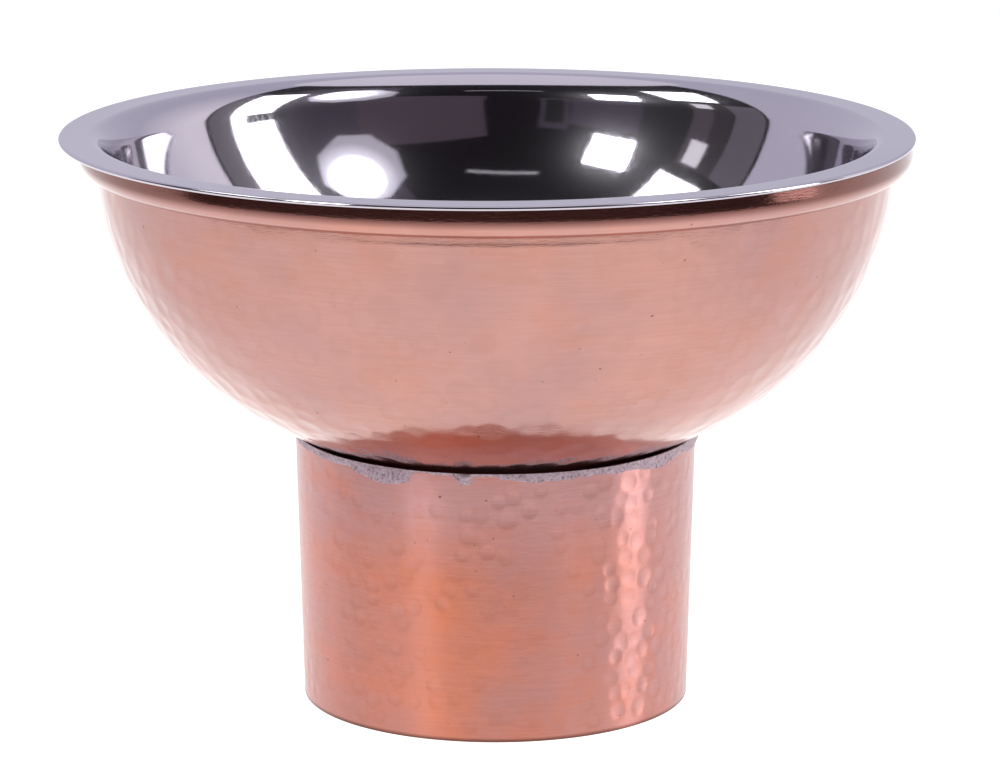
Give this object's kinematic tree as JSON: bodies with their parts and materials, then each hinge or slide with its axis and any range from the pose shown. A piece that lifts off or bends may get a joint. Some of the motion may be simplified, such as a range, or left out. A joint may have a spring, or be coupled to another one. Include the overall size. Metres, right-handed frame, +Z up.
{
  "type": "baptismal font",
  "caption": "Round hammered copper bowl on a plain rolled copper foot, with a polished steel basin that rests in the bowl by its flat brim and lifts out.",
  "frame": {"origin": "centre of the circle that the foot stands on", "axes": "+Z up along the axis that the copper bowl and the foot share; -Y is the front, opposite the foot's seam; the loose basin lies 3.1 mm to -X of the axis"},
  "size_m": [0.32, 0.32, 0.2164],
  "materials": {
    "polished_steel": "mirror-polished stainless sheet",
    "copper": "hammered and brushed copper sheet",
    "foot_copper": "rolled and lightly hammered copper sheet",
    "braze": "filed flush",
    "tin_solder": "matt grey, as run"
  },
  "bodies": {
    "font": {"outer_bowl": "copper", "foot_tube": "foot_copper", "foot_seam": "braze", "solder_fillet": "tin_solder"},
    "basin": {"inner_basin": "polished_steel"}
  },
  "joints": [
    {"name": "basin_lift", "type": "slide", "parent": "font", "child": "basin", "axis": [0, 0, 1], "range_m": [0, 0.14]}
  ]
}
